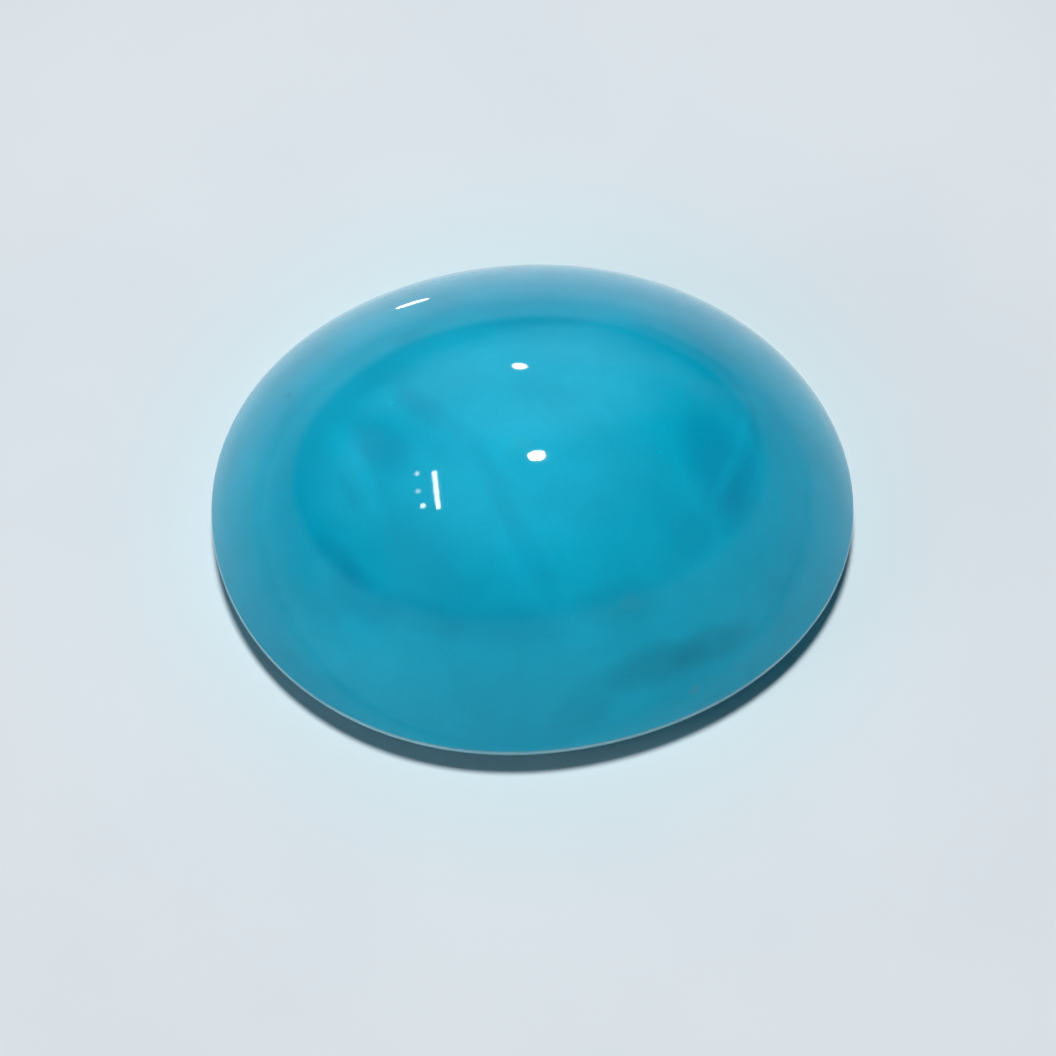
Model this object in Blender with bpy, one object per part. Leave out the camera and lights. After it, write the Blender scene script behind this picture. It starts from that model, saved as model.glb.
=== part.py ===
"""Oval turquoise cabochon: a loose, polished, domed stone that rests on its flat ground back.

The stone lies with its long axis on X and its flat back on Z = 0, its box centred on X and Y.
It is one closed solid. The half section, from the middle of the back out to the edge and up
to the top of the dome, is a chain of edges that is spun about Z. The dome of the round solid is
then given its height, and its plan is drawn in to the slightly uneven oval of a stone that was
ground by hand.
"""
from math import atan2, cos, hypot, pi, radians, sin, sqrt

import bmesh
import bpy

MM = 0.001

# Driving dimensions of the stone
LENGTH = 16.0 * MM
WIDTH = 13.9 * MM
DOME_HEIGHT = 4.8 * MM
GIRDLE_HEIGHT = 0.8 * MM
BACK_INSET = 0.7 * MM
EDGE_RADIUS = 0.25 * MM
FOOT_TILT = radians(27.0)

# The round of the edge ends FOOT_TILT short of upright, where the foot of the dome begins
FOOT_REACH = LENGTH / 2 - EDGE_RADIUS * (1 - cos(FOOT_TILT))
FOOT_HEIGHT = GIRDLE_HEIGHT + EDGE_RADIUS * sin(FOOT_TILT)

# The dome is the top of an ellipsoid. At a fullness of 1 it would be cut through its middle and
# meet the edge upright; at less it is cut higher up and meets the edge at a slant
FULLNESS_AT_ENDS = 0.92
FULLNESS_AT_SIDES = 0.56

# Uneven grinding of the outline: three and four soft bulges, as shares of the radius
THREE_BULGES = 0.0062
THREE_BULGES_TURN = radians(-11.0)
FOUR_BULGES = 0.0051
FOUR_BULGES_TURN = radians(60.0)

# Facets of the solid
STEPS_AROUND = 96
DOME_RINGS = 22
EDGE_RINGS = 8
BACK_RINGS = 3
MERGE_DISTANCE = 0.001 * MM

STONE_COLOUR = (0.012, 0.36, 0.52, 1.0)
STONE_ROUGHNESS = 0.08
SHARP_ANGLE = radians(35.0)


def clear_scene():
    """Remove whatever objects the open file holds."""
    for thing in list(bpy.data.objects):
        bpy.data.objects.remove(thing, do_unlink=True)


def back_section():
    """Points (reach, height) of the flat back and of the bevel that climbs from it."""
    foot = LENGTH / 2 - BACK_INSET
    return [(foot * ring / BACK_RINGS, 0.0) for ring in range(BACK_RINGS + 1)]


def edge_section():
    """Points of the small round between the bevel of the back and the foot of the dome."""
    start = atan2(BACK_INSET, GIRDLE_HEIGHT) - pi / 2
    points = []
    for ring in range(EDGE_RINGS):
        turn = start + (FOOT_TILT - start) * ring / EDGE_RINGS
        points.append((LENGTH / 2 - EDGE_RADIUS * (1 - cos(turn)), GIRDLE_HEIGHT + EDGE_RADIUS * sin(turn)))
    return points


def dome_height(share, angle):
    """Height above the back at a share of the foot's reach and an angle from the long axis."""
    fullness = FULLNESS_AT_ENDS + (FULLNESS_AT_SIDES - FULLNESS_AT_ENDS) * sin(angle) ** 2
    cut = sqrt(1 - fullness)
    rise = GIRDLE_HEIGHT + DOME_HEIGHT - FOOT_HEIGHT
    return FOOT_HEIGHT + rise * (sqrt(1 - fullness * share**2) - cut) / (1 - cut)


def dome_section():
    """Points of the dome above the long axis, from its foot to its top."""
    points = []
    for ring in range(DOME_RINGS + 1):
        share = cos(pi / 2 * ring / DOME_RINGS)
        points.append((FOOT_REACH * share, dome_height(share, 0.0)))
    return points


def spin_section(mesh):
    """Spin the half section about Z into a closed round solid."""
    section = back_section() + edge_section() + dome_section()
    verts = [mesh.verts.new((reach, 0.0, height)) for reach, height in section]
    chain = [mesh.edges.new(pair) for pair in zip(verts, verts[1:])]
    bmesh.ops.spin(mesh, geom=verts + chain, cent=(0, 0, 0), axis=(0, 0, 1), angle=2 * pi,
                   steps=STEPS_AROUND, use_merge=True)
    bmesh.ops.remove_doubles(mesh, verts=mesh.verts, dist=MERGE_DISTANCE)
    bmesh.ops.recalc_face_normals(mesh, faces=mesh.faces)


def shape_dome(mesh):
    """Set the height of the dome, which is fuller at the ends of the stone than at its sides."""
    for vert in mesh.verts:
        if vert.co.z > FOOT_HEIGHT + MERGE_DISTANCE:
            share = hypot(vert.co.x, vert.co.y) / FOOT_REACH
            vert.co.z = dome_height(share, atan2(vert.co.y, vert.co.x))


def uneven_radius(angle, share):
    """Factor on the radius for the hand-ground outline, fading out towards the middle."""
    bulge = THREE_BULGES * cos(3 * (angle - THREE_BULGES_TURN))
    bulge += FOUR_BULGES * cos(4 * (angle - FOUR_BULGES_TURN))
    return 1 + bulge * share


def draw_in_to_oval(mesh):
    """Turn the round plan into the uneven oval, LENGTH by WIDTH, with its box centred on X and Y."""
    for vert in mesh.verts:
        angle = atan2(vert.co.y, vert.co.x)
        factor = uneven_radius(angle, hypot(vert.co.x, vert.co.y) / (LENGTH / 2))
        vert.co.x *= factor
        vert.co.y *= factor
    for axis, size in ((0, LENGTH), (1, WIDTH)):
        low = min(vert.co[axis] for vert in mesh.verts)
        high = max(vert.co[axis] for vert in mesh.verts)
        for vert in mesh.verts:
            vert.co[axis] = (vert.co[axis] - (low + high) / 2) * size / (high - low)


def stone_material():
    """Polished turquoise: blue-green, opaque and glossy."""
    material = bpy.data.materials.new("turquoise")
    material.use_nodes = True
    shader = material.node_tree.nodes["Principled BSDF"]
    shader.inputs["Base Color"].default_value = STONE_COLOUR
    shader.inputs["Roughness"].default_value = STONE_ROUGHNESS
    shader.inputs["Metallic"].default_value = 0.0
    return material


def make_cabochon():
    """Build the stone as one object."""
    mesh = bmesh.new()
    spin_section(mesh)
    shape_dome(mesh)
    draw_in_to_oval(mesh)
    data = bpy.data.meshes.new("cabochon")
    mesh.to_mesh(data)
    mesh.free()
    data.materials.append(stone_material())
    data.shade_smooth()
    data.set_sharp_from_angle(angle=SHARP_ANGLE)
    stone = bpy.data.objects.new("cabochon", data)
    bpy.context.scene.collection.objects.link(stone)
    return stone


clear_scene()
make_cabochon()
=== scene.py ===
"""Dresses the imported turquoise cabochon: a fine polished dome, a ground back and a pale studio.

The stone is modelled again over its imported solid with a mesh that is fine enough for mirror
reflections. The camera stands where the photographer stood, and each small lamp is placed by
the spot where its reflection shows on the dome.
"""
from __future__ import annotations

import logging
from dataclasses import dataclass, field
from enum import Enum
from math import atan2, cos, hypot, pi, radians, sin, sqrt, tan

import bmesh
import bpy
from mathutils import Matrix, Vector, noise
from mathutils.bvhtree import BVHTree


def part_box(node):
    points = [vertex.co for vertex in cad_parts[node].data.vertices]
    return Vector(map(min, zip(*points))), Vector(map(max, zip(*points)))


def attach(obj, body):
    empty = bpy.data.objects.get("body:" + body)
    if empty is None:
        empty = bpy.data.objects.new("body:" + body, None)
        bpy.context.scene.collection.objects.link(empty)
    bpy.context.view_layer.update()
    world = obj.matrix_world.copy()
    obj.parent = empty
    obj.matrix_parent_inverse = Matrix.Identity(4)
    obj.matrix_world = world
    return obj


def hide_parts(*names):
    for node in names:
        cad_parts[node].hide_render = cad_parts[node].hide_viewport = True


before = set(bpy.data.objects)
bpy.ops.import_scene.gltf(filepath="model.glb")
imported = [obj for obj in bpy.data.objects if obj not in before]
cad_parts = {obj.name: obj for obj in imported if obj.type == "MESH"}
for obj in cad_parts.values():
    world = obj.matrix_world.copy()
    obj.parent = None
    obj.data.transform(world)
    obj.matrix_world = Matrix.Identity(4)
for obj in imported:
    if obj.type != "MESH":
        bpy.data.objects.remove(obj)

log = logging.getLogger("cabochon")

MM = 0.001
PHOTO_SIZE = 1056
SHARP_ANGLE = radians(30.0)
CLIP_FACTOR = 50

# Blender's noise stays mostly between these two values
NOISE_LOW = 0.3
NOISE_HIGH = 0.7

# Reach of a patch of colour in height, in millimetres: through the whole stone
THROUGH = 1e4

Colour = tuple[float, float, float]
Pixel = tuple[float, float]
Socket = bpy.types.NodeSocket


class Blend(Enum):
    """How a patch of colour changes the stone beneath it."""

    VEIL = "MIX"
    STAIN_AND_SHADE = "MULTIPLY"


class Outline(Enum):
    """Shapes that a lamp can have."""

    OVAL = "ELLIPSE"
    BAR = "RECTANGLE"


@dataclass
class NodeBench:
    """A node tree, with short ways to add and join its nodes.

    Attributes:
        tree: The node tree that is built.
    """

    tree: bpy.types.NodeTree

    def add(self, kind: str, **settings: object) -> bpy.types.Node:
        """Add one node.

        Args:
            kind: Blender's name of the node type, without its ShaderNode prefix.
            settings: Properties to set on the node.

        Returns:
            The new node.
        """
        node = self.tree.nodes.new("ShaderNode" + kind)
        for name, value in settings.items():
            setattr(node, name, value)
        return node

    def feed(self, socket: Socket, value: object) -> None:
        """Link a socket to a node's output, or set its value.

        Args:
            socket: The input socket.
            value: An output socket, a number or a tuple of numbers.
        """
        if isinstance(value, Socket):
            self.tree.links.new(value, socket)
        else:
            socket.default_value = value

    def maths(self, operation: str, first: object, second: object = 0.0) -> Socket:
        """Combine two numbers.

        Args:
            operation: The Math node's operation.
            first: First number or socket.
            second: Second number or socket.

        Returns:
            The result's socket.
        """
        node = self.add("Math", operation=operation)
        self.feed(node.inputs[0], first)
        self.feed(node.inputs[1], second)
        return node.outputs[0]

    def vectors(self, operation: str, first: object, second: object) -> Socket:
        """Combine two vectors.

        Args:
            operation: The Vector Math node's operation.
            first: First vector or socket.
            second: Second vector or socket, or the number of a SCALE.

        Returns:
            The result's socket.
        """
        node = self.add("VectorMath", operation=operation)
        self.feed(node.inputs[0], first)
        self.feed(node.inputs["Scale" if operation == "SCALE" else 1], second)
        return node.outputs["Value" if operation == "DOT_PRODUCT" else 0]

    def spread(self, value: object, low: float, high: float, start: float, end: float) -> Socket:
        """Map a number smoothly from one range to another.

        Args:
            value: Socket of the number.
            low: Number that gives start.
            high: Number that gives end.
            start: Result at low and below.
            end: Result at high and above.

        Returns:
            The result's socket.
        """
        node = self.add("MapRange", interpolation_type="SMOOTHSTEP")
        for socket, number in zip(node.inputs, (value, low, high, start, end)):
            self.feed(socket, number)
        return node.outputs[0]

    def cloud(self, place: object, size: float, detail: float = 2.0, roughness: float = 0.5) -> Socket:
        """Soft noise between about 0.3 and 0.7.

        Args:
            place: Socket of the position in millimetres.
            size: Size of a blob in millimetres.
            detail: Finer layers of noise.
            roughness: Strength of the finer layers.

        Returns:
            The noise value's socket.
        """
        node = self.add("TexNoise")
        self.feed(node.inputs["Vector"], place)
        node.inputs["Scale"].default_value = 1 / size
        node.inputs["Detail"].default_value = detail
        node.inputs["Roughness"].default_value = roughness
        return node.outputs["Fac"]

    def vary(self, value: Socket, low: float, high: float) -> Socket:
        """Map soft noise to a range.

        Args:
            value: Socket of the noise.
            low: Result at the noise's low values.
            high: Result at its high values.

        Returns:
            The result's socket.
        """
        return self.spread(value, NOISE_LOW, NOISE_HIGH, low, high)

    def colours(self, blend: Blend, amount: object, below: object, above: object) -> Socket:
        """Lay one colour over another.

        Args:
            blend: How the colours combine.
            amount: Share of the upper colour, a number or a socket.
            below: Lower colour or its socket.
            above: Upper colour or its socket.

        Returns:
            The result's socket.
        """
        node = self.add("Mix", data_type="RGBA", blend_type=blend.value)
        self.feed(node.inputs["Factor"], amount)
        for socket, colour in (("A", below), ("B", above)):
            self.feed(node.inputs[socket], colour if isinstance(colour, Socket) else (*colour, 1.0))
        return node.outputs["Result"]

    def place_in_mm(self) -> Socket:
        """Give the place on the piece, in millimetres of the part's own frame."""
        return self.vectors("SCALE", self.add("TexCoord").outputs["Object"], 1 / MM)


@dataclass(frozen=True)
class Patch:
    """A soft oval patch of colour in the stone, seen in plan.

    Attributes:
        x: Place along the long axis, in millimetres from the middle.
        y: Place across it, in millimetres from the middle.
        length: Half length in millimetres, where the patch has faded out.
        width: Half width in millimetres, where the patch has faded out.
        turn: Turn of its length from the long axis, in degrees.
        strength: Share of the patch's colour in its middle.
        colour: The colour that is laid over or multiplied in.
        blend: How the colour is laid on.
    """

    x: float
    y: float
    length: float
    width: float
    turn: float
    strength: float
    colour: Colour
    blend: Blend = Blend.STAIN_AND_SHADE

    def lay(self, bench: NodeBench, place: Socket, below: Socket) -> Socket:
        """Lay this patch over a colour.

        Args:
            bench: Bench of the material.
            place: Socket of the position in millimetres.
            below: Socket of the colour so far.

        Returns:
            Socket of the colour with the patch.
        """
        local = bench.add("Mapping", vector_type="TEXTURE")
        bench.feed(local.inputs["Vector"], place)
        local.inputs["Location"].default_value = (self.x, self.y, 0.0)
        local.inputs["Rotation"].default_value = (0.0, 0.0, radians(self.turn))
        local.inputs["Scale"].default_value = (self.length, self.width, THROUGH)
        reach = bench.vectors("DOT_PRODUCT", local.outputs[0], local.outputs[0])
        share = bench.spread(reach, 0.0, 1.0, self.strength, 0.0)
        return bench.colours(self.blend, share, below, self.colour)


# DEEP_TONE_AND_SHADE darkens for dark markings and for painted shade; MILK_TONE_AND_LIGHT lightens for
# pale markings and for painted light
DEEP_TONE_AND_SHADE: Colour = (0.35, 0.62, 0.72)
SMOKE: Colour = (0.50, 0.60, 0.62)
MILK_TONE_AND_LIGHT: Colour = (0.002, 0.600, 0.890)
TAN: Colour = (0.20, 0.30, 0.28)

PATCHES = (
    # Wide tones: partly the stone's own tone and partly painted light and shade, darker at the back and
    # on the right, lighter in the middle and towards the front
    Patch(2.0, 4.6, 6.5, 3.6, -10.0, 0.32, DEEP_TONE_AND_SHADE),
    Patch(7.0, -2.4, 5.0, 3.2, 80.0, 0.25, DEEP_TONE_AND_SHADE),
    Patch(-5.6, -0.9, 1.9, 1.2, -80.0, 0.14, DEEP_TONE_AND_SHADE),
    Patch(5.2, 1.2, 2.2, 1.4, -60.0, 0.22, DEEP_TONE_AND_SHADE),
    Patch(-3.8, 3.3, 2.6, 1.2, 45.0, 0.16, MILK_TONE_AND_LIGHT, Blend.VEIL),
    Patch(-7.0, -0.4, 2.5, 1.0, 80.0, 0.12, MILK_TONE_AND_LIGHT, Blend.VEIL),
    Patch(0.6, 0.7, 3.4, 2.2, 0.0, 0.24, MILK_TONE_AND_LIGHT, Blend.VEIL),
    Patch(-0.6, -2.0, 3.4, 2.4, -20.0, 0.51, MILK_TONE_AND_LIGHT, Blend.VEIL),
    Patch(-1.2, -6.1, 4.6, 1.7, 0.0, 0.26, MILK_TONE_AND_LIGHT, Blend.VEIL),
    Patch(0.4, -3.6, 3.1, 1.2, 5.0, 0.30, MILK_TONE_AND_LIGHT, Blend.VEIL),
    # Streak that crosses the dome from the back left to the front
    Patch(-2.55, 0.30, 1.5, 0.42, -50.0, 0.30, DEEP_TONE_AND_SHADE),
    Patch(-2.25, -0.80, 1.0, 0.50, -50.0, 0.20, DEEP_TONE_AND_SHADE),
    Patch(-1.50, -0.90, 1.2, 0.36, -60.0, 0.14, DEEP_TONE_AND_SHADE),
    Patch(-1.05, -1.90, 1.5, 0.36, -68.0, 0.14, DEEP_TONE_AND_SHADE),
    Patch(-0.30, -3.50, 1.7, 0.40, -62.0, 0.22, DEEP_TONE_AND_SHADE),
    # Dark patch on the right, the light arc beside it and the thin line outside that
    Patch(4.42, -1.30, 1.7, 1.1, -75.0, 0.58, DEEP_TONE_AND_SHADE),
    Patch(5.08, -0.35, 0.7, 0.17, 73.0, 0.16, MILK_TONE_AND_LIGHT, Blend.VEIL),
    Patch(4.66, -1.45, 1.0, 0.19, 59.0, 0.19, MILK_TONE_AND_LIGHT, Blend.VEIL),
    Patch(5.10, 1.05, 0.9, 0.16, -59.0, 0.18, DEEP_TONE_AND_SHADE),
    Patch(5.44, 0.00, 0.8, 0.16, -88.0, 0.20, DEEP_TONE_AND_SHADE),
    Patch(5.25, -1.10, 0.9, 0.18, 74.0, 0.20, DEEP_TONE_AND_SHADE),
    Patch(4.66, -2.29, 0.9, 0.36, 68.0, 0.16, DEEP_TONE_AND_SHADE),
    Patch(3.75, -3.00, 0.9, 0.60, 60.0, 0.16, DEEP_TONE_AND_SHADE),
    Patch(1.40, -2.72, 0.8, 0.45, 20.0, 0.12, DEEP_TONE_AND_SHADE),
    # Dark and light stripes on the left
    Patch(-3.64, -0.45, 1.3, 0.65, -50.0, 0.34, DEEP_TONE_AND_SHADE),
    Patch(-4.10, -1.15, 1.2, 0.28, -74.0, 0.24, MILK_TONE_AND_LIGHT, Blend.VEIL),
    Patch(-4.55, -1.33, 0.8, 0.18, -72.0, 0.24, DEEP_TONE_AND_SHADE),
    Patch(-4.60, 0.00, 0.9, 0.50, -70.0, 0.18, MILK_TONE_AND_LIGHT, Blend.VEIL),
    Patch(-3.70, 1.00, 0.9, 0.40, 10.0, 0.18, MILK_TONE_AND_LIGHT, Blend.VEIL),
    # Dark line along the foot of the dome
    Patch(0.30, 2.75, 2.2, 0.25, 0.0, 0.14, DEEP_TONE_AND_SHADE),
    Patch(-4.90, -2.75, 1.2, 0.34, -50.0, 0.42, DEEP_TONE_AND_SHADE),
    Patch(-4.35, -3.65, 1.3, 0.55, -42.0, 0.32, DEEP_TONE_AND_SHADE),
    Patch(-2.90, -4.40, 1.4, 0.42, -28.0, 0.24, DEEP_TONE_AND_SHADE),
    Patch(-0.90, -4.85, 1.8, 0.50, -4.0, 0.20, DEEP_TONE_AND_SHADE),
    # Smoky smudges near the front, with clouds between them
    Patch(1.74, -4.47, 1.5, 0.55, 6.0, 0.25, SMOKE),
    Patch(4.00, -5.03, 1.5, 0.36, 22.0, 0.45, SMOKE),
    Patch(2.60, -5.55, 1.6, 0.45, 14.0, 0.50, SMOKE),
    Patch(0.90, -6.20, 1.5, 0.50, 27.0, 0.30, SMOKE),
    Patch(-4.60, -4.60, 1.4, 0.70, -30.0, 0.12, MILK_TONE_AND_LIGHT, Blend.VEIL),
    Patch(-5.70, -4.00, 1.3, 0.50, -42.0, 0.22, MILK_TONE_AND_LIGHT, Blend.VEIL),
    Patch(0.98, -4.95, 1.1, 0.50, 0.0, 0.15, MILK_TONE_AND_LIGHT, Blend.VEIL),
    # Small spots
    Patch(1.98, -4.48, 0.35, 0.20, 0.0, 0.05, TAN, Blend.VEIL),
    Patch(3.49, -5.85, 0.24, 0.10, 30.0, 0.13, TAN, Blend.VEIL),
    Patch(-2.77, 2.84, 0.70, 0.42, 30.0, 0.20, DEEP_TONE_AND_SHADE),
    Patch(-5.86, 2.16, 0.12, 0.10, 0.0, 0.50, DEEP_TONE_AND_SHADE),
    Patch(-3.37, 0.72, 0.12, 0.08, 20.0, 0.45, MILK_TONE_AND_LIGHT, Blend.VEIL),
    Patch(3.01, -1.22, 0.11, 0.08, 0.0, 0.40, MILK_TONE_AND_LIGHT, Blend.VEIL),
)


@dataclass(frozen=True)
class PolishedTurquoise:
    """Clean blue turquoise with a glassy polish: soft clouds, faint streaks and a fine grain.

    Attributes:
        name: Name of the material.
        deep: Colour of the darker clouds.
        light: Colour of the lighter clouds.
        rubbed_rim_highlight: Colour of the rubbed line along the edge, made pale enough to paint the
            edge's bright highlight as well.
        rubbed_highlight_from: Height above the back where that line has ended, in millimetres.
        rubbed_highlight_below: Height below which it is full, in millimetres.
        index: Refractive index of the polished stone.
        roughness: Roughness of the polish.
        warp: How far the clouds' edges wander, in millimetres.
        drift: How far the patches' edges wander, in millimetres.
        waves: Waves of that wandering, per millimetre.
        cloud_size: Size of the clouds, in millimetres.
        mottle_size: Size of the small mottles, in millimetres.
        mottle: How much the mottles lighten or darken the stone, as a share.
        grain_size: Size of the grain, in millimetres.
        grain: How much the grain lightens or darkens the stone, as a share.
        rubbed_highlight_gap_size: Size of the gaps in the rubbed, painted-bright line, in millimetres.
        rubbed_highlight_range: Shares of its colour in the line's faintest and its palest places.
        polish_size: Size of the polish's smoother and duller places, in millimetres.
        polish_range: Their roughness, as shares of the polish's roughness.
    """

    name: str = "polished_turquoise"
    deep: Colour = (0.001, 0.404, 0.618)
    light: Colour = (0.002, 0.495, 0.738)
    # Pale colour of the rubbed edge line, also a painted highlight along the edge
    rubbed_rim_highlight: Colour = (0.45, 0.82, 0.90)
    rubbed_highlight_from: float = 0.91
    rubbed_highlight_below: float = 0.85
    index: float = 1.40
    roughness: float = 0.036
    warp: float = 0.6
    drift: float = 0.25
    waves: float = 0.45
    cloud_size: float = 5.5
    mottle_size: float = 1.1
    mottle: float = 0.03
    grain_size: float = 0.07
    grain: float = 0.02
    rubbed_highlight_gap_size: float = 1.5
    rubbed_highlight_range: tuple[float, float] = (0.55, 0.95)
    polish_size: float = 1.6
    polish_range: tuple[float, float] = (0.7, 1.4)

    def make(self) -> bpy.types.Material:
        """Build the material.

        Returns:
            The new material.
        """
        material = bpy.data.materials.new(self.name)
        material.use_nodes = True
        bench = NodeBench(material.node_tree)
        shader = material.node_tree.nodes["Principled BSDF"]
        place = bench.place_in_mm()
        wander = bench.add("TexNoise")
        bench.feed(wander.inputs["Vector"], place)
        wander.inputs["Scale"].default_value = self.waves
        wander.inputs["Detail"].default_value = 3.0
        shift = bench.vectors("SUBTRACT", wander.outputs["Color"], (0.5, 0.5, 0.5))
        warped = bench.vectors("ADD", place, bench.vectors("SCALE", shift, self.warp))
        clouds = bench.vary(bench.cloud(warped, self.cloud_size, roughness=0.45), 0.0, 1.0)
        colour = bench.colours(Blend.VEIL, clouds, self.deep, self.light)
        drifted = bench.vectors("ADD", place, bench.vectors("SCALE", shift, self.drift))
        for patch in PATCHES:
            colour = patch.lay(bench, drifted, colour)
        mottles = bench.cloud(place, self.mottle_size, detail=3.0)
        mottle = bench.vary(mottles, 1 - self.mottle, 1 + self.mottle)
        grains = bench.cloud(place, self.grain_size, detail=1.0)
        grain = bench.vary(grains, 1 - self.grain, 1 + self.grain)
        stone = bench.vectors("SCALE", colour, bench.maths("MULTIPLY", mottle, grain))
        height = bench.add("SeparateXYZ")
        bench.feed(height.inputs[0], place)
        # The rubbed line along the edge, painted pale enough to stand also for the edge's bright
        # highlight
        rubbed_highlight_band = bench.spread(height.outputs["Z"], self.rubbed_highlight_below, self.rubbed_highlight_from, 1.0, 0.0)
        gaps = bench.cloud(place, self.rubbed_highlight_gap_size, detail=4.0, roughness=0.6)
        rubbed_rim_highlight = bench.maths("MULTIPLY", rubbed_highlight_band, bench.vary(gaps, *self.rubbed_highlight_range))
        bench.feed(shader.inputs["Base Color"], bench.colours(Blend.VEIL, rubbed_rim_highlight, stone, self.rubbed_rim_highlight))
        smoother, duller = (self.roughness * share for share in self.polish_range)
        polish = bench.cloud(place, self.polish_size, detail=4.0, roughness=0.6)
        bench.feed(shader.inputs["Roughness"], bench.vary(polish, smoother, duller))
        shader.inputs["IOR"].default_value = self.index
        return material


@dataclass(frozen=True)
class GroundBack:
    """The unpolished back: the same stone, duller and matt, with the lap's fine scratches.

    Attributes:
        name: Name of the material.
        colour: Colour of the ground stone.
        cloud: Colour of its paler clouds.
        scratch: Colour of the scratches.
        cloud_size: Size of the clouds, in millimetres.
        cloud_noise: Values of the noise where a cloud begins and where it is full.
        scratch_turn: Turn of the scratches from the long axis.
        scratch_grid: Scratches per millimetre along and across them, and in height.
        scratch_noise: Values of the noise where a scratch begins and where it is deepest.
        scratch_share: Share of the scratches' colour in the deepest of them.
        scratch_depth: Depth of the scratches' bump, in metres.
        roughness: Roughness of the ground face.
        roughness_range: Roughness beside and in the scratches, as shares of that.
        index: Refractive index of the stone.
        gloss: Strength of the matt face's reflections, where 0.5 is that of a polished one.
    """

    name: str = "ground_turquoise"
    colour: Colour = (0.006, 0.27, 0.39)
    cloud: Colour = (0.018, 0.36, 0.48)
    scratch: Colour = (0.08, 0.47, 0.57)
    cloud_size: float = 2.4
    cloud_noise: tuple[float, float] = (0.35, 0.68)
    scratch_turn: float = radians(24.0)
    scratch_grid: tuple[float, float, float] = (0.25, 14.0, 1.0)
    scratch_noise: tuple[float, float] = (0.52, 0.70)
    scratch_share: float = 0.35
    scratch_depth: float = 0.012 * MM
    roughness: float = 0.55
    roughness_range: tuple[float, float] = (0.8, 1.2)
    index: float = 1.61
    gloss: float = 0.2

    def make(self) -> bpy.types.Material:
        """Build the material.

        Returns:
            The new material.
        """
        material = bpy.data.materials.new(self.name)
        material.use_nodes = True
        bench = NodeBench(material.node_tree)
        shader = material.node_tree.nodes["Principled BSDF"]
        place = bench.place_in_mm()
        soft = bench.cloud(place, self.cloud_size, detail=5.0, roughness=0.6)
        clouds = bench.spread(soft, *self.cloud_noise, 0.0, 1.0)
        colour = bench.colours(Blend.VEIL, clouds, self.colour, self.cloud)
        stretched = bench.add("Mapping", vector_type="POINT")
        bench.feed(stretched.inputs["Vector"], place)
        stretched.inputs["Rotation"].default_value = (0.0, 0.0, self.scratch_turn)
        stretched.inputs["Scale"].default_value = self.scratch_grid
        scratches = bench.cloud(stretched.outputs[0], 1.0, detail=4.0, roughness=0.7)
        pale = bench.spread(scratches, *self.scratch_noise, 0.0, self.scratch_share)
        bench.feed(shader.inputs["Base Color"], bench.colours(Blend.VEIL, pale, colour, self.scratch))
        smoother, rougher = (self.roughness * share for share in self.roughness_range)
        bench.feed(shader.inputs["Roughness"], bench.vary(scratches, smoother, rougher))
        bump = bench.add("Bump")
        bench.feed(bump.inputs["Height"], scratches)
        bump.inputs["Distance"].default_value = self.scratch_depth
        bench.feed(shader.inputs["Normal"], bump.outputs[0])
        shader.inputs["IOR"].default_value = self.index
        shader.inputs["Specular IOR Level"].default_value = self.gloss
        return material


@dataclass(frozen=True)
class PaleSurface:
    """The smooth pale surface under the stone.

    Attributes:
        name: Name of the material.
        colour: Its colour.
        cloud: Colour of its faint darker clouds.
        painted_bounce_shade: Its colour close to the stone, with painted turquoise bounce light and
            painted shade from the stone.
        painted_bounce_reach: Distances from the stone's middle, in millimetres, between which that
            fades.
        near: Distance from there, in millimetres, where the surface starts to grow darker as painted
            shade.
        far: Distance where it has grown darkest.
        far_share: Share of its brightness there.
        cloud_size: Size of the clouds, in millimetres.
        cloud_noise: Values of the noise where a cloud begins and where it is full.
        roughness: Its roughness.
    """

    name: str = "pale_surface"
    colour: Colour = (0.838, 0.905, 0.955)
    cloud: Colour = (0.815, 0.882, 0.937)
    # Painted turquoise bounce light and shade close to the stone
    painted_bounce_shade: Colour = (0.758, 0.905, 0.955)
    painted_bounce_reach: tuple[float, float] = (6.0, 12.0)
    # Painted shade: the surface grows darker far from the stone
    near: float = 18.0
    far: float = 38.0
    far_share: float = 0.74
    cloud_size: float = 9.0
    cloud_noise: tuple[float, float] = (0.35, 0.65)
    roughness: float = 0.9

    def make(self) -> bpy.types.Material:
        """Build the material.

        Returns:
            The new material.
        """
        material = bpy.data.materials.new(self.name)
        material.use_nodes = True
        bench = NodeBench(material.node_tree)
        shader = material.node_tree.nodes["Principled BSDF"]
        place = bench.place_in_mm()
        soft = bench.cloud(place, self.cloud_size, detail=3.0)
        clouds = bench.spread(soft, *self.cloud_noise, 0.0, 1.0)
        colour = bench.colours(Blend.VEIL, clouds, self.colour, self.cloud)
        reach = bench.maths("SQRT", bench.vectors("DOT_PRODUCT", place, place))
        # Painted turquoise bounce light and shade close to the stone
        painted_bounce_shade = bench.spread(reach, *self.painted_bounce_reach, 1.0, 0.0)
        colour = bench.colours(Blend.VEIL, painted_bounce_shade, colour, self.painted_bounce_shade)
        # Painted shade: the surface grows darker far from the stone
        fade = bench.spread(reach, self.near, self.far, 1.0, self.far_share)
        bench.feed(shader.inputs["Base Color"], bench.vectors("SCALE", colour, fade))
        shader.inputs["Roughness"].default_value = self.roughness
        shader.inputs["Specular IOR Level"].default_value = 0.0
        return material


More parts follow.
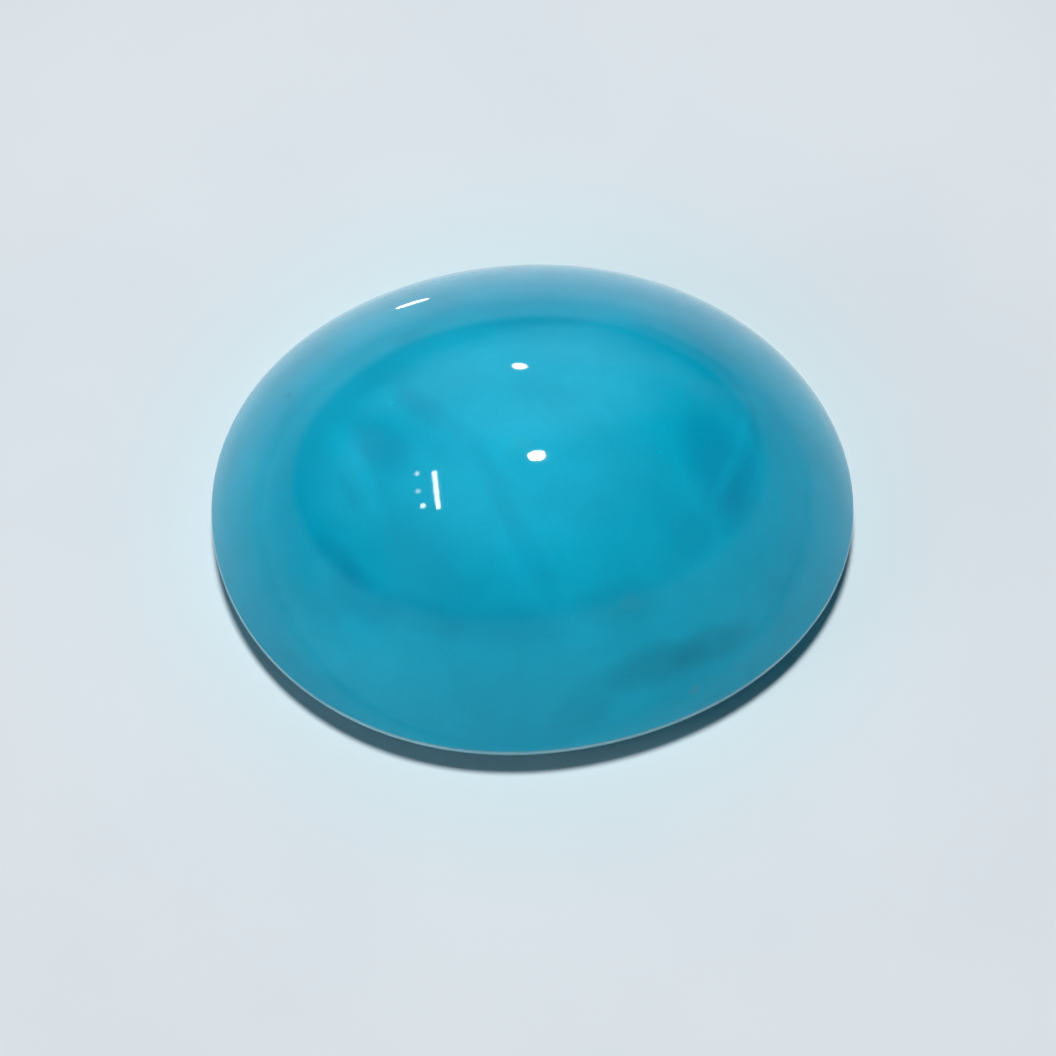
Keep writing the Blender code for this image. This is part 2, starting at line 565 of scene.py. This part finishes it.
@dataclass
class Cabochon:
    """The stone: an oval dome over a small rounded edge, a bevel and a flat back.

    Attributes:
        length: Length of the oval along X.
        width: Width of the oval along Y.
        height: Height of the whole stone.
        girdle_height: Height of the edge above the back.
        back_inset: How far the flat back lies in from the edge.
        edge_radius: Radius of the small round at the edge.
        foot_tilt: How far from upright the round ends and the dome begins.
        end_fullness: Fullness of the dome at the ends: 1 is half an ellipsoid, less is its cap.
        side_fullness: Fullness of the dome at the sides.
        three_bulges: Size of three soft bulges of the outline, as a share of the radius.
        three_turn: Angle of the first of them.
        four_bulges: Size of four soft bulges of the outline.
        four_turn: Angle of the first of them.
        steps: Faces around the stone.
        dome_rings: Rings of faces on the dome.
        edge_rings: Rings of faces on the rounded edge.
        back_rings: Rings of faces on the flat back, and on the bevel.
        hand_polish: Height of the dome's faint waviness.
        polish_wave: Length of that waviness.
        polish_onset: How steeply it grows in from the edge: at 3 it is full a third of the way up.
        piece: The finished stone, once it is modelled.
    """

    length: float
    width: float
    height: float
    girdle_height: float = 0.8 * MM
    back_inset: float = 0.7 * MM
    edge_radius: float = 0.25 * MM
    foot_tilt: float = radians(27.0)
    end_fullness: float = 0.92
    side_fullness: float = 0.56
    three_bulges: float = 0.0062
    three_turn: float = radians(-11.0)
    four_bulges: float = 0.0051
    four_turn: float = radians(60.0)
    steps: int = 320
    dome_rings: int = 120
    edge_rings: int = 16
    back_rings: int = 8
    hand_polish: float = 0.002 * MM
    polish_wave: float = 3.0 * MM
    polish_onset: float = 3.0
    piece: bpy.types.Object | None = field(default=None, init=False)

    @classmethod
    def over(cls, node: str) -> Cabochon:
        """Take the stone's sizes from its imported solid.

        Args:
            node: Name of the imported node.

        Returns:
            A stone of the node's length, width and height.
        """
        low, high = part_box(node)
        size = Vector(high) - Vector(low)
        return cls(length=size.x, width=size.y, height=size.z)

    @property
    def edge_start(self) -> float:
        """Angle where the round of the edge begins, at the top of the bevel."""
        return atan2(self.back_inset, self.girdle_height) - pi / 2

    @property
    def merge_distance(self) -> float:
        """Distance within which points of the spun section are one."""
        return self.edge_radius / 1000

    def edge_point(self, turn: float) -> tuple[float, float]:
        """Give the reach and height of the edge's round where it faces an angle above level."""
        return (self.length / 2 - self.edge_radius * (1 - cos(turn)),
                self.girdle_height + self.edge_radius * sin(turn))

    def dome_height(self, share: float, angle: float) -> float:
        """Work out the height of the dome above the back.

        Args:
            share: Distance from the middle, as a share of the distance of the dome's foot.
            angle: Angle from the long axis, in the round plan.

        Returns:
            The height.
        """
        fullness = self.end_fullness + (self.side_fullness - self.end_fullness) * sin(angle) ** 2
        cut = sqrt(1 - fullness)
        foot = self.edge_point(self.foot_tilt)[1]
        return foot + (self.height - foot) * (sqrt(1 - fullness * share**2) - cut) / (1 - cut)

    def section(self) -> list[tuple[float, float]]:
        """Work out the half section, from the middle of the back to the top of the dome.

        Returns:
            Points as (reach, height).
        """
        flat = self.length / 2 - self.back_inset
        points = [(flat * ring / self.back_rings, 0.0) for ring in range(self.back_rings)]
        bevel_reach, bevel_height = self.edge_point(self.edge_start)
        for ring in range(self.back_rings):
            share = ring / self.back_rings
            points.append((flat + (bevel_reach - flat) * share, bevel_height * share))
        for ring in range(self.edge_rings):
            share = ring / self.edge_rings
            points.append(self.edge_point(self.edge_start + (self.foot_tilt - self.edge_start) * share))
        foot_reach = self.edge_point(self.foot_tilt)[0]
        for ring in range(self.dome_rings + 1):
            share = cos(pi / 2 * ring / self.dome_rings)
            points.append((foot_reach * share, self.dome_height(share, 0.0)))
        return points

    def fill_dome(self, mesh: bmesh.types.BMesh) -> None:
        """Set the height of the dome, which is fuller at the ends than at the sides.

        Args:
            mesh: The spun stone.
        """
        foot_reach, foot_height = self.edge_point(self.foot_tilt)
        for vert in mesh.verts:
            if vert.co.z > foot_height + self.merge_distance:
                share = hypot(vert.co.x, vert.co.y) / foot_reach
                vert.co.z = self.dome_height(share, atan2(vert.co.y, vert.co.x))

    def draw_in(self, mesh: bmesh.types.BMesh) -> None:
        """Turn the round plan into the uneven oval, with its box centred on X and Y.

        Args:
            mesh: The spun stone.
        """
        for vert in mesh.verts:
            angle = atan2(vert.co.y, vert.co.x)
            share = hypot(vert.co.x, vert.co.y) / (self.length / 2)
            bulge = self.three_bulges * cos(3 * (angle - self.three_turn))
            bulge += self.four_bulges * cos(4 * (angle - self.four_turn))
            vert.co.xy *= 1 + bulge * share
        for axis, size in ((0, self.length), (1, self.width)):
            low = min(vert.co[axis] for vert in mesh.verts)
            high = max(vert.co[axis] for vert in mesh.verts)
            for vert in mesh.verts:
                vert.co[axis] = (vert.co[axis] - (low + high) / 2) * size / (high - low)

    def wave(self, mesh: bmesh.types.BMesh) -> None:
        """Give the dome the faint waviness of hand polishing, which fades out towards the edge.

        Args:
            mesh: The oval stone.
        """
        mesh.normal_update()
        foot = self.edge_point(self.foot_tilt)[1]
        for vert in mesh.verts:
            climb = (vert.co.z - foot) / (self.height - foot)
            if climb > 0:
                swell = noise.noise(vert.co / self.polish_wave) * self.hand_polish
                vert.co -= vert.normal * (self.hand_polish + swell) * min(1.0, climb * self.polish_onset)

    def model(self) -> bpy.types.Object:
        """Spin the section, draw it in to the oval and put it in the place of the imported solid.

        Returns:
            The finished stone.
        """
        mesh = bmesh.new()
        verts = [mesh.verts.new((reach, 0.0, height)) for reach, height in self.section()]
        chain = [mesh.edges.new(pair) for pair in zip(verts, verts[1:])]
        bmesh.ops.spin(mesh, geom=verts + chain, cent=(0, 0, 0), axis=(0, 0, 1), angle=2 * pi,
                       steps=self.steps, use_merge=True)
        bmesh.ops.remove_doubles(mesh, verts=mesh.verts, dist=self.merge_distance)
        bmesh.ops.recalc_face_normals(mesh, faces=mesh.faces)
        self.fill_dome(mesh)
        self.draw_in(mesh)
        self.wave(mesh)
        bevel_top = self.edge_point(self.edge_start)[1]
        for face in mesh.faces:
            face.smooth = True
            face.material_index = int(face.calc_center_median().z < bevel_top)
        data = bpy.data.meshes.new("polished_cabochon")
        mesh.to_mesh(data)
        mesh.free()
        data.set_sharp_from_angle(angle=SHARP_ANGLE)
        self.piece = bpy.data.objects.new("polished_cabochon", data)
        bpy.context.scene.collection.objects.link(self.piece)
        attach(self.piece, "root")
        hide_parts("cabochon")
        return self.piece

    def dress(self, polished: PolishedTurquoise, ground: GroundBack) -> None:
        """Give the dome and the back their finishes.

        Args:
            polished: Finish of the dome and the edge.
            ground: Finish of the bevel and the flat back.
        """
        self.piece.data.materials.append(polished.make())
        self.piece.data.materials.append(ground.make())

    def height_over(self, x: float, y: float) -> float:
        """Work out the height of the even dome, without the bulges of its plan, over a place.

        Args:
            x: Place along the long axis.
            y: Place across it.

        Returns:
            The height above the back.
        """
        along = x / (self.length / 2)
        across = y / (self.width / 2)
        return self.dome_height(min(hypot(along, across), 1.0), atan2(across, along))

    def dome_normal(self, point: Vector, step: float = 0.001 * MM) -> Vector:
        """Work out which way the even dome faces at a point.

        Args:
            point: A point on the dome.
            step: Half the distance over which the slope is taken.

        Returns:
            The unit vector that points out of the dome there.
        """
        x, y = point.x, point.y
        along = (self.height_over(x + step, y) - self.height_over(x - step, y)) / (2 * step)
        across = (self.height_over(x, y + step) - self.height_over(x, y - step)) / (2 * step)
        return Vector((-along, -across, 1.0)).normalized()


@dataclass
class PhotoCamera:
    """The camera, placed as the photograph was taken.

    Attributes:
        elevation: Height of the camera above the surface, as an angle.
        turn: Turn of the camera round the stone, from straight in front to the left.
        distance: Distance from the middle of the stone's edge.
        pixels_per_mm: Scale of the photograph at the middle of the stone's edge.
        centre: Pixel of the photograph where that middle shows.
        sensor: Width of the camera's sensor in millimetres.
        eye: The camera's object, once it is made.
    """

    elevation: float = radians(61.0)
    turn: float = radians(4.76)
    distance: float = 128.0 * MM
    pixels_per_mm: float = 40.09
    centre: Pixel = (532.2, 502.9)
    sensor: float = 36.0
    eye: bpy.types.Object | None = field(default=None, init=False)

    @property
    def focal_pixels(self) -> float:
        """Focal length in pixels of the photograph."""
        return self.pixels_per_mm * self.distance / MM

    def make(self, middle: Vector) -> bpy.types.Object:
        """Make the camera and look at the stone.

        Args:
            middle: The middle of the stone's edge.

        Returns:
            The camera object, which the scene then uses.
        """
        flat = cos(self.elevation)
        back = Vector((-sin(self.turn) * flat, -cos(self.turn) * flat, sin(self.elevation)))
        turned = back.to_track_quat("Z", "Y")
        offset = Vector((PHOTO_SIZE / 2 - self.centre[0], self.centre[1] - PHOTO_SIZE / 2, 0.0))
        aim = middle + turned @ (offset / self.pixels_per_mm * MM)
        lens = bpy.data.cameras.new("photo_camera")
        lens.sensor_width = self.sensor
        lens.lens = self.sensor * self.focal_pixels / PHOTO_SIZE
        lens.clip_start = self.distance / CLIP_FACTOR
        lens.clip_end = self.distance * CLIP_FACTOR
        self.eye = bpy.data.objects.new("photo_camera", lens)
        self.eye.rotation_mode = "QUATERNION"
        self.eye.rotation_quaternion = turned
        self.eye.location = aim + back * self.distance
        bpy.context.scene.collection.objects.link(self.eye)
        bpy.context.scene.camera = self.eye
        return self.eye

    def ray(self, pixel: Pixel) -> Vector:
        """Work out the direction in which a pixel of the photograph looks.

        Args:
            pixel: Pixel of the 1056 x 1056 photograph.

        Returns:
            The unit vector from the camera.
        """
        half = PHOTO_SIZE / 2
        straight = Vector((pixel[0] - half, half - pixel[1], -self.focal_pixels))
        return (self.eye.rotation_quaternion @ straight).normalized()


@dataclass(frozen=True)
class Lamp:
    """A small lamp, given by the spot where its reflection shows on the dome.

    Attributes:
        name: Name of the lamp.
        spot: Pixel of the reflection's middle.
        long_end: Pixel of the end of its long axis.
        short_end: Pixel of the end of its short axis.
        radiance: Brightness of the lamp's face.
        outline: Shape of the lamp's face.
        distance: How far the lamp is from the stone.
    """

    name: str
    spot: Pixel
    long_end: Pixel
    short_end: Pixel
    radiance: float
    outline: Outline = Outline.OVAL
    distance: float = 0.4

    def hang(self, camera: PhotoCamera, stone: Cabochon, shape: BVHTree) -> bpy.types.Object:
        """Hang the lamp where its mirror reflection meets the camera.

        Args:
            camera: The camera that sees the reflection.
            stone: The stone that reflects.
            shape: The stone's mesh, for rays.

        Returns:
            The lamp's object.
        """
        mirrored = []
        for pixel in (self.spot, self.long_end, self.short_end):
            sight = camera.ray(pixel)
            hit = shape.ray_cast(camera.eye.location, sight)[0]
            mirrored.append((hit, sight.reflect(stone.dome_normal(hit))))
        start, towards = mirrored[0]
        middle = start + towards * self.distance
        ends = []
        for hit, heading in mirrored[1:]:
            along = (middle - hit).dot(towards) / heading.dot(towards)
            ends.append(hit + heading * along - middle)
        length, width = 2 * ends[0].length, 2 * ends[1].length
        face = bpy.data.lights.new(self.name, "AREA")
        face.shape = self.outline.value
        face.size, face.size_y = length, width
        fill = pi / 4 if self.outline is Outline.OVAL else 1.0
        face.energy = self.radiance * pi * length * width * fill
        lamp = bpy.data.objects.new(self.name, face)
        across = ends[0].normalized()
        lamp.matrix_world = Matrix.Translation(middle) @ Matrix(
            (across, towards.cross(across), towards)).transposed().to_4x4()
        lamp.visible_diffuse = False
        lamp.visible_camera = False
        bpy.context.scene.collection.objects.link(lamp)
        return lamp


LAMPS = (
    Lamp("high_lamp", (538.5, 455.0), (547.0, 454.0), (538.5, 450.2), 90.0),
    Lamp("back_lamp", (521.0, 365.5), (525.6, 363.8), (520.2, 362.4), 60.0),
    Lamp("tube", (437.4, 487.1), (440.4, 506.1), (439.7, 486.6), 32.0, Outline.BAR),
    Lamp("top_dot", (417.5, 471.5), (418.1, 469.3), (419.6, 472.1), 14.0),
    Lamp("middle_dot", (418.7, 488.6), (419.6, 486.6), (420.7, 489.5), 10.0),
    Lamp("low_dot", (424.0, 502.8), (425.9, 500.6), (425.9, 504.4), 24.0),
    Lamp("rim_strip", (413.0, 302.8), (430.0, 298.0), (413.3, 303.8), 10.0, distance=0.006),
)


def way(turn: float, elevation: float) -> Vector:
    """Give the direction at a turn from straight back, to the right, and an elevation."""
    return Vector((sin(turn) * cos(elevation), cos(turn) * cos(elevation), sin(elevation)))


@dataclass(frozen=True)
class Glow:
    """A soft bright region of the surroundings, or a dark one where its strength is negative.

    Attributes:
        turn: Turn of its middle from straight back, to the right, in degrees.
        elevation: Elevation of its middle, in degrees.
        core: Angle from its middle up to which it is at its strongest, in degrees.
        reach: Angle from its middle where it has faded out, in degrees.
        strength: Its brightness.
    """

    turn: float
    elevation: float
    core: float
    reach: float
    strength: float

    def add_to(self, light: object, bench: NodeBench, towards: Socket) -> Socket:
        """Add this glow to the brightness of the surroundings.

        Args:
            light: The brightness so far, a number or a socket.
            bench: Bench of the world.
            towards: Socket of the direction.

        Returns:
            Socket of the brightness with the glow.
        """
        middle = way(radians(self.turn), radians(self.elevation))
        nearness = bench.vectors("DOT_PRODUCT", towards, middle)
        faded, full = cos(radians(self.reach)), cos(radians(self.core))
        glow = bench.spread(nearness, faded, full, 0.0, self.strength)
        return bench.maths("ADD", light, glow)


WINDOW_GLOWS = (
    Glow(4.0, 48.0, 8.0, 36.0, 0.60),
    Glow(15.0, 14.0, 5.0, 24.0, 0.30),
    Glow(-24.0, 26.0, 5.0, 22.0, 0.23),
    Glow(-62.0, 33.0, 3.0, 16.0, 0.22),
)

ROOM_GLOWS = (
    Glow(0.0, 90.0, 0.0, 40.0, 0.24),
    Glow(-100.0, 50.0, 10.0, 45.0, 0.14),
    Glow(85.0, 22.0, 5.0, 24.0, 0.05),
    Glow(-110.0, 22.0, 5.0, 26.0, -0.18),
    Glow(30.0, 4.0, 3.0, 18.0, -0.28),
    Glow(150.0, 7.0, 3.0, 24.0, -0.12),
    Glow(-85.0, 12.0, 3.0, 24.0, -0.14),
    Glow(72.0, 36.0, 5.0, 24.0, -0.09),
    Glow(38.0, 19.0, 2.0, 13.0, 0.14),
)


@dataclass(frozen=True)
class SoftLight:
    """A soft light, given by its direction.

    Attributes:
        name: Name of the light.
        turn: Its turn from straight behind the stone, to the right, in degrees.
        elevation: Its height above the surface, in degrees.
        spread: The angle that it fills, seen from the stone, in degrees.
        strength: The light that it throws on the surface.
    """

    name: str
    turn: float
    elevation: float
    spread: float
    strength: float


SOFT_LIGHTS = (
    SoftLight("key", 0.0, 81.0, 12.0, 0.795),
    SoftLight("side_fill", -110.0, 22.0, 30.0, 0.045),
)


@dataclass(frozen=True)
class Studio:
    """The pale surface, the soft lights and the soft surroundings.

    Attributes:
        floor_reach: Half size of the surface.
        light_distance: Distance of the soft lights.
        band_edge: Sine of the angle up to which the surroundings have a bright band.
        band_tilt: Tilt of that edge, down at the back and up in front.
        band_softness: Half the width of that edge, as a sine.
        band_fade: Share of the band's brightness that fades upwards.
        band_fade_from: How far below the edge that begins, as a sine.
        band_fade_to: How far below the edge it ends, as a sine.
        band_level: Brightness of the band.
        band_swing: How much brighter it is on its brightest side.
        band_turn: Turn of that side from straight back, to the right.
        sill_from: Sine of the angle above which the window behind the stone begins to show.
        sill_to: Sine of the angle above which it shows fully.
        sill_tilt: Tilt of the window's lower edge, down towards the back.
        sill_turn: Turn of that edge's lowest side from straight back, to the right.
        ceiling: Brightness of the surroundings above the band.
        fill: Share of the surroundings' light that falls on matt surfaces.
        tint: Colour of the surroundings' light.
    """

    floor_reach: float = 0.25
    light_distance: float = 0.5
    band_edge: float = 0.33
    band_tilt: float = radians(14.6)
    band_softness: float = 0.05
    band_fade: float = 0.45
    band_fade_from: float = 0.43
    band_fade_to: float = 0.03
    band_level: float = 0.58
    band_swing: float = 0.20
    band_turn: float = radians(-30.0)
    sill_from: float = 0.37
    sill_to: float = 0.52
    sill_tilt: float = radians(21.0)
    sill_turn: float = radians(45.0)
    ceiling: float = 0.12
    fill: float = 0.012
    tint: Colour = (1.0, 1.05, 1.06)

    def lay_floor(self, finish: PaleSurface) -> bpy.types.Object:
        """Lay the surface that the stone rests on.

        Args:
            finish: Its finish.

        Returns:
            The floor.
        """
        mesh = bmesh.new()
        bmesh.ops.create_grid(mesh, x_segments=1, y_segments=1, size=self.floor_reach)
        data = bpy.data.meshes.new("floor")
        mesh.to_mesh(data)
        mesh.free()
        data.materials.append(finish.make())
        floor = bpy.data.objects.new("floor", data)
        bpy.context.scene.collection.objects.link(floor)
        return floor

    def hang_soft(self, light: SoftLight) -> bpy.types.Object:
        """Hang a soft light, which shows in no reflection.

        Args:
            light: Where the light is and what it throws on the surface.

        Returns:
            The light's object.
        """
        towards = way(radians(light.turn), radians(light.elevation))
        face = bpy.data.lights.new(light.name, "AREA")
        face.shape = "DISK"
        face.size = 2 * self.light_distance * tan(radians(light.spread) / 2)
        area = pi * face.size**2 / 4
        solid_angle = area / self.light_distance**2
        radiance = light.strength * pi / (solid_angle * towards.z)
        face.energy = radiance * pi * area
        hung = bpy.data.objects.new(light.name, face)
        hung.rotation_mode = "QUATERNION"
        hung.rotation_quaternion = towards.to_track_quat("Z", "Y")
        hung.location = towards * self.light_distance
        hung.visible_glossy = False
        hung.visible_camera = False
        bpy.context.scene.collection.objects.link(hung)
        return hung

    def band(self, bench: NodeBench, towards: Socket) -> Socket:
        """Make the bright band above the horizon, which fades upwards and then ends at an edge.

        Args:
            bench: Bench of the world.
            towards: Socket of the direction.

        Returns:
            Socket of its brightness.
        """
        climb = bench.vectors("DOT_PRODUCT", towards, way(0.0, pi / 2 - self.band_tilt))
        fade_from, fade_to = self.band_edge - self.band_fade_from, self.band_edge - self.band_fade_to
        fade = bench.spread(climb, fade_from, fade_to, self.band_fade, 0.0)
        edge_from, edge_to = self.band_edge - self.band_softness, self.band_edge + self.band_softness
        edge = bench.spread(climb, edge_from, edge_to, 1 - self.band_fade, 0.0)
        side = bench.vectors("DOT_PRODUCT", towards, way(self.band_turn, 0.0))
        level = bench.maths("ADD", bench.maths("MULTIPLY", side, self.band_swing), self.band_level)
        return bench.maths("MULTIPLY", bench.maths("ADD", fade, edge), level)

    def window(self, bench: NodeBench, towards: Socket) -> Socket:
        """Make the window behind the stone, which is cut off below by its sill.

        Args:
            bench: Bench of the world.
            towards: Socket of the direction.

        Returns:
            Socket of its brightness.
        """
        light: object = 0.0
        for glow in WINDOW_GLOWS:
            light = glow.add_to(light, bench, towards)
        climb = bench.vectors("DOT_PRODUCT", towards, way(self.sill_turn, pi / 2 - self.sill_tilt))
        above_sill = bench.spread(climb, self.sill_from, self.sill_to, 0.0, 1.0)
        return bench.maths("MULTIPLY", light, above_sill)

    def surround(self) -> bpy.types.World:
        """Make the surroundings: the bright band, the window and soft glows under a darker ceiling.

        Returns:
            The scene's world.
        """
        world = bpy.data.worlds.new("surroundings")
        world.use_nodes = True
        bench = NodeBench(world.node_tree)
        towards = bench.add("TexCoord").outputs["Generated"]
        light = bench.maths("ADD", self.band(bench, towards), self.window(bench, towards))
        light = bench.maths("ADD", light, self.ceiling)
        for glow in ROOM_GLOWS:
            light = glow.add_to(light, bench, towards)
        light = bench.maths("MAXIMUM", light, self.ceiling / 4)
        tint = bench.add("RGB").outputs[0]
        tint.default_value = (*self.tint, 1.0)
        background = world.node_tree.nodes["Background"]
        bench.feed(background.inputs["Color"], bench.vectors("SCALE", tint, light))
        matt = bench.add("LightPath").outputs["Is Diffuse Ray"]
        bench.feed(background.inputs["Strength"], bench.spread(matt, 0.0, 1.0, 1.0, self.fill))
        bpy.context.scene.world = world
        return world


def main() -> None:
    """Build the stone, the camera and the studio, and report each of them."""
    logging.basicConfig(level=logging.INFO, format="%(message)s")
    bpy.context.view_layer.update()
    bpy.context.scene.view_settings.view_transform = "Standard"
    stone = Cabochon.over("cabochon")
    piece = stone.model()
    stone.dress(PolishedTurquoise(), GroundBack())
    log.info("stone: %s with %d faces", piece.name, len(piece.data.polygons))
    camera = PhotoCamera()
    camera.make(Vector((0.0, 0.0, stone.girdle_height)))
    log.info("camera: %.1f mm lens", camera.eye.data.lens)
    studio = Studio()
    studio.lay_floor(PaleSurface())
    for light in SOFT_LIGHTS:
        studio.hang_soft(light)
    studio.surround()
    shape = BVHTree.FromObject(piece, bpy.context.evaluated_depsgraph_get())
    for lamp in LAMPS:
        hung = lamp.hang(camera, stone, shape)
        log.info("lamp: %s at %s", hung.name, [round(step, 3) for step in hung.location])


if __name__ == "__main__":
    main()
